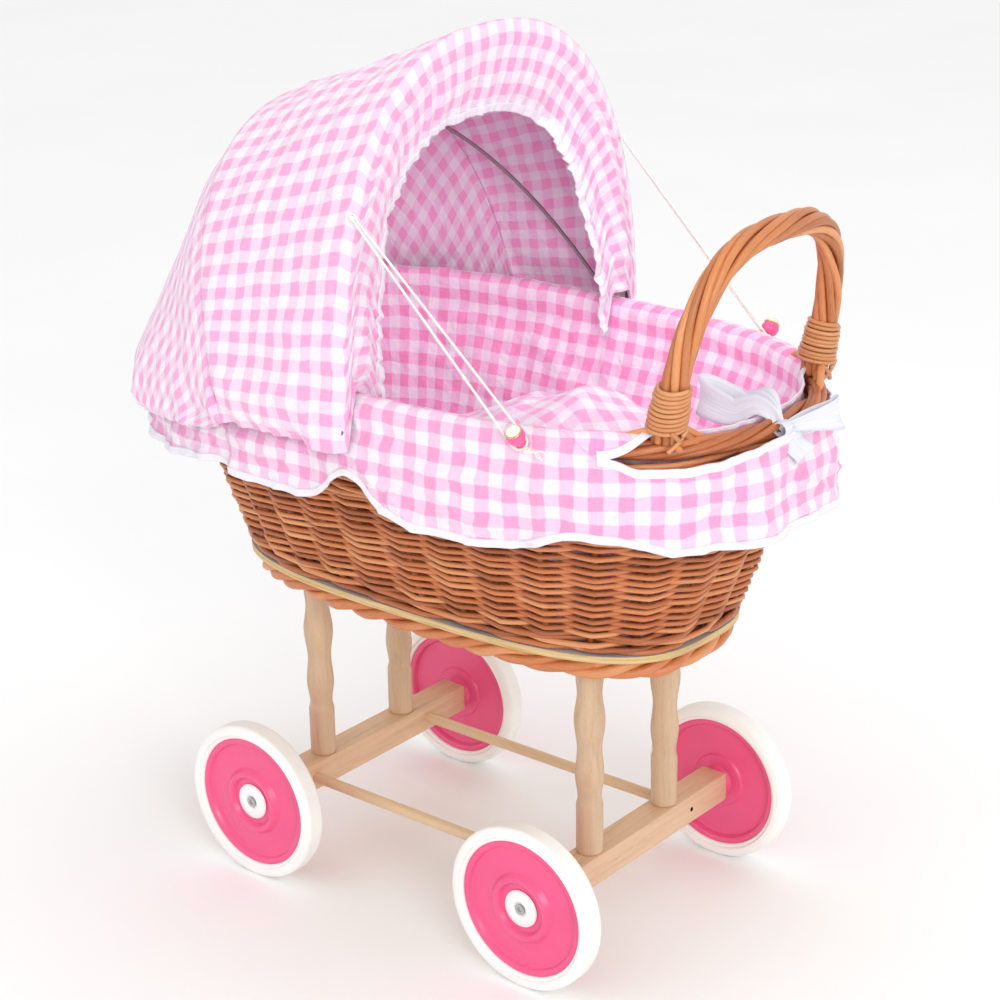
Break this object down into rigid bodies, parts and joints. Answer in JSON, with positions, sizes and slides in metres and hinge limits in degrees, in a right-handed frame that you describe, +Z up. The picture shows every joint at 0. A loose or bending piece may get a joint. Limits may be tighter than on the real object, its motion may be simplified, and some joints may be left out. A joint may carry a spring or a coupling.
{
  "type": "doll stroller",
  "caption": "Doll's pram with a woven willow basket on turned wooden legs and moulded wheels, gingham liner, bedding, arched handle and folding fabric hood.",
  "frame": {"origin": "the point on the ground midway between the four wheels", "axes": "+X towards the handle end, +Y towards the right-hand side, +Z up"},
  "size_m": [0.5512, 0.3472, 0.6581],
  "materials": {
    "tyre": "matte",
    "disc": "gloss",
    "bush": "satin",
    "zinc_screw": "satin",
    "nail": "satin",
    "beech": "satin varnish",
    "board": "matte",
    "willow": "gloss varnish",
    "peeled_willow": "satin varnish",
    "gingham": "woven gingham, pink and white",
    "lining_cotton": "woven gingham, pink and white",
    "mattress_cotton": "matte",
    "white_tape": "woven tape",
    "ribbon": "satin",
    "hoop_wire": "satin",
    "elastic": "braided",
    "bead": "gloss",
    "bead_cap": "gloss"
  },
  "bodies": {
    "root": {"bush_handle_left": "bush", "bush_handle_right": "bush", "bush_hood_left": "bush", "bush_hood_right": "bush", "axle_screws": "zinc_screw", "axle_washers": "zinc_screw", "axle_beam_handle": "beech", "axle_beam_hood": "beech", "stretcher_left": "beech", "stretcher_right": "beech", "leg_handle_left": "beech", "leg_handle_right": "beech", "leg_hood_left": "beech", "leg_hood_right": "beech", "leg_screws": "zinc_screw", "board_screws": "zinc_screw", "dowel_nails": "nail", "base_board": "board", "foot_border": "willow", "basket_stakes": "willow", "basket_wall": "willow", "rim_border": "willow", "handle_core": "willow", "handle_rods": "willow", "handle_wrap_left": "peeled_willow", "handle_wrap_right": "peeled_willow", "lining": "lining_cotton", "rim_roll": "gingham", "skirt": "gingham", "skirt_binding": "white_tape", "cutout_binding": "white_tape", "ribbon_bow": "ribbon", "mattress": "mattress_cotton", "pillow": "gingham", "duvet": "gingham", "hood_pivot_pins": "zinc_screw", "bead_left": "bead", "bead_right": "bead", "bead_pins": "bead_cap"},
    "wheel_handle_left": {"tyre_handle_left": "tyre", "disc_handle_left": "disc"},
    "wheel_handle_right": {"tyre_handle_right": "tyre", "disc_handle_right": "disc"},
    "wheel_hood_left": {"tyre_hood_left": "tyre", "disc_hood_left": "disc"},
    "wheel_hood_right": {"tyre_hood_right": "tyre", "disc_hood_right": "disc"},
    "hood_front": {"front_hoop": "hoop_wire", "hood_cover_top": "gingham", "visor": "gingham", "visor_elastic": "elastic"},
    "hood_rear": {"rear_hoop": "hoop_wire", "hood_cover_back": "gingham"},
    "stay_left": {"stay_left": "elastic"},
    "stay_right": {"stay_right": "elastic"}
  },
  "joints": [
    {"name": "wheel_handle_left_spin", "type": "hinge", "parent": "root", "child": "wheel_handle_left", "pos_m": [0.1322, -0.1224, 0.0625], "axis": [0, 1, 0], "continuous": true},
    {"name": "wheel_handle_right_spin", "type": "hinge", "parent": "root", "child": "wheel_handle_right", "pos_m": [0.1322, 0.1224, 0.0625], "axis": [0, 1, 0], "continuous": true},
    {"name": "wheel_hood_left_spin", "type": "hinge", "parent": "root", "child": "wheel_hood_left", "pos_m": [-0.1322, -0.1224, 0.0625], "axis": [0, 1, 0], "continuous": true},
    {"name": "wheel_hood_right_spin", "type": "hinge", "parent": "root", "child": "wheel_hood_right", "pos_m": [-0.1322, 0.1224, 0.0625], "axis": [0, 1, 0], "continuous": true},
    {"name": "hood_front_fold", "type": "hinge", "parent": "root", "child": "hood_front", "pos_m": [0.009, 0, 0.405], "axis": [0, 1, 0], "range_deg": [-72, 0], "deforming": ["hood_cover_top", "visor", "visor_elastic"]},
    {"name": "hood_rear_fold", "type": "hinge", "parent": "root", "child": "hood_rear", "pos_m": [0.009, 0, 0.405], "axis": [0, 1, 0], "range_deg": [-33.2, 0.2], "deforming": ["hood_cover_back"]},
    {"name": "stay_left_swing", "type": "hinge", "parent": "hood_front", "child": "stay_left", "pos_m": [0.015, -0.15, 0.55], "axis": [0, 1, 0], "range_deg": [-0.3, 34.2]},
    {"name": "stay_right_swing", "type": "hinge", "parent": "hood_front", "child": "stay_right", "pos_m": [0.015, 0.15, 0.55], "axis": [0, 1, 0], "range_deg": [-0.3, 34.2]}
  ],
  "couplings": [
    {"joint": "hood_rear_fold", "follows": "hood_front_fold", "ratio": 0.458},
    {"joint": "stay_left_swing", "follows": "hood_front_fold", "ratio": -0.47},
    {"joint": "stay_right_swing", "follows": "hood_front_fold", "ratio": -0.47}
  ]
}
